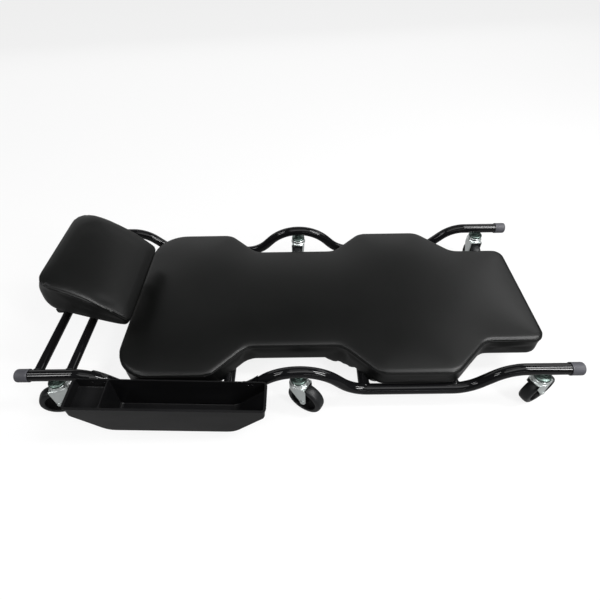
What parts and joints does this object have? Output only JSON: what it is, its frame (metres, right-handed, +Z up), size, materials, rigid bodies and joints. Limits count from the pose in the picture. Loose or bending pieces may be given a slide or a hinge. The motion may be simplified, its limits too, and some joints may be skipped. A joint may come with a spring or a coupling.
{
  "type": "mechanic creeper",
  "caption": "Low padded creeper on a bent tube frame with swivel casters, a tilting wedge headrest and a tool tray hung on one rail.",
  "frame": {"origin": "middle of the part's footprint, on the floor under the wheels", "axes": "+X towards the feet, -Y towards the tray on the occupant's right, +Z up"},
  "size_m": [1.2, 0.599, 0.284],
  "materials": {
    "black_enamel": "gloss black powder coat on steel tube and plate",
    "grey_vinyl": "matte dark grey push-on caps",
    "black_vinyl": "smooth black vinyl over foam",
    "plywood": "bare plywood",
    "bright_zinc": "bright zinc plated steel",
    "dark_rubber": "matte dark grey",
    "tray_plastic": "satin black moulding",
    "nylon": "natural nylon",
    "steel": "plain steel"
  },
  "bodies": {
    "frame": {"right_rail": "black_enamel", "left_rail": "black_enamel", "head_right_end_cap": "grey_vinyl", "head_left_end_cap": "grey_vinyl", "foot_right_end_cap": "grey_vinyl", "foot_left_end_cap": "grey_vinyl", "outer_head_tube": "black_enamel", "inner_head_tube": "black_enamel", "deck_tube_1": "black_enamel", "deck_tube_2": "black_enamel", "deck_tube_3": "black_enamel", "deck_tube_4": "black_enamel", "deck_board": "plywood", "deck_cushion": "black_vinyl", "right_headrest_carrier": "black_enamel", "left_headrest_carrier": "black_enamel", "hinge_rod": "bright_zinc", "right_friction_washer": "nylon", "left_friction_washer": "nylon", "head_right_caster_mount": "bright_zinc", "head_right_bearing": "steel", "mid_right_caster_mount": "bright_zinc", "mid_right_bearing": "steel", "foot_right_caster_mount": "bright_zinc", "foot_right_bearing": "steel", "head_left_caster_mount": "bright_zinc", "head_left_bearing": "steel", "mid_left_caster_mount": "bright_zinc", "mid_left_bearing": "steel", "foot_left_caster_mount": "bright_zinc", "foot_left_bearing": "steel"},
    "headrest": {"right_hinge_ear": "black_enamel", "left_hinge_ear": "black_enamel", "headrest_board": "plywood", "headrest_cushion": "black_vinyl", "right_rest_pad": "dark_rubber", "left_rest_pad": "dark_rubber"},
    "tray": {"side_tray": "tray_plastic", "head_tray_hook": "black_enamel", "foot_tray_hook": "black_enamel"},
    "head_right_swivel": {"head_right_fork": "bright_zinc", "head_right_axle": "bright_zinc"},
    "head_right_wheel": {"head_right_wheel": "dark_rubber"},
    "mid_right_swivel": {"mid_right_fork": "bright_zinc", "mid_right_axle": "bright_zinc"},
    "mid_right_wheel": {"mid_right_wheel": "dark_rubber"},
    "foot_right_swivel": {"foot_right_fork": "bright_zinc", "foot_right_axle": "bright_zinc"},
    "foot_right_wheel": {"foot_right_wheel": "dark_rubber"},
    "head_left_swivel": {"head_left_fork": "bright_zinc", "head_left_axle": "bright_zinc"},
    "head_left_wheel": {"head_left_wheel": "dark_rubber"},
    "mid_left_swivel": {"mid_left_fork": "bright_zinc", "mid_left_axle": "bright_zinc"},
    "mid_left_wheel": {"mid_left_wheel": "dark_rubber"},
    "foot_left_swivel": {"foot_left_fork": "bright_zinc", "foot_left_axle": "bright_zinc"},
    "foot_left_wheel": {"foot_left_wheel": "dark_rubber"}
  },
  "joints": [
    {"name": "headrest_tilt", "type": "hinge", "parent": "frame", "child": "headrest", "pos_m": [-0.4065, 0.03154, 0.1449], "axis": [0, 1, 0], "range_deg": [-24.4, 20]},
    {"name": "tray_lift", "type": "slide", "parent": "frame", "child": "tray", "axis": [0, 0, 1], "range_m": [0, 0.12]},
    {"name": "head_right_swivel", "type": "hinge", "parent": "frame", "child": "head_right_swivel", "pos_m": [-0.5255, -0.21146, 0.0948], "axis": [0, 0, 1], "continuous": true},
    {"name": "head_right_spin", "type": "hinge", "parent": "head_right_swivel", "child": "head_right_wheel", "pos_m": [-0.54271, -0.21672, 0.042], "axis": [0.2924, -0.9563, 0], "continuous": true},
    {"name": "mid_right_swivel", "type": "hinge", "parent": "frame", "child": "mid_right_swivel", "pos_m": [0, -0.21146, 0.0948], "axis": [0, 0, 1], "continuous": true},
    {"name": "mid_right_spin", "type": "hinge", "parent": "mid_right_swivel", "child": "mid_right_wheel", "pos_m": [0.01543, -0.22073, 0.042], "axis": [0.515, 0.8572, 0], "continuous": true},
    {"name": "foot_right_swivel", "type": "hinge", "parent": "frame", "child": "foot_right_swivel", "pos_m": [0.5255, -0.21146, 0.0948], "axis": [0, 0, 1], "continuous": true},
    {"name": "foot_right_spin", "type": "hinge", "parent": "foot_right_swivel", "child": "foot_right_wheel", "pos_m": [0.54154, -0.20328, 0.042], "axis": [-0.454, 0.891, 0], "continuous": true},
    {"name": "head_left_swivel", "type": "hinge", "parent": "frame", "child": "head_left_swivel", "pos_m": [-0.5255, 0.27454, 0.0948], "axis": [0, 0, 1], "continuous": true},
    {"name": "head_left_spin", "type": "hinge", "parent": "head_left_swivel", "child": "head_left_wheel", "pos_m": [-0.53224, 0.25786, 0.042], "axis": [0.9272, -0.3746, 0], "continuous": true},
    {"name": "mid_left_swivel", "type": "hinge", "parent": "frame", "child": "mid_left_swivel", "pos_m": [0, 0.27454, 0.0948], "axis": [0, 0, 1], "continuous": true},
    {"name": "mid_left_spin", "type": "hinge", "parent": "mid_left_swivel", "child": "mid_left_wheel", "pos_m": [-0.0025, 0.25672, 0.042], "axis": [0.9903, -0.1392, 0], "continuous": true},
    {"name": "foot_left_swivel", "type": "hinge", "parent": "frame", "child": "foot_left_swivel", "pos_m": [0.5255, 0.27454, 0.0948], "axis": [0, 0, 1], "continuous": true},
    {"name": "foot_left_spin", "type": "hinge", "parent": "foot_left_swivel", "child": "foot_left_wheel", "pos_m": [0.52613, 0.25655, 0.042], "axis": [0.9994, 0.0349, 0], "continuous": true}
  ]
}
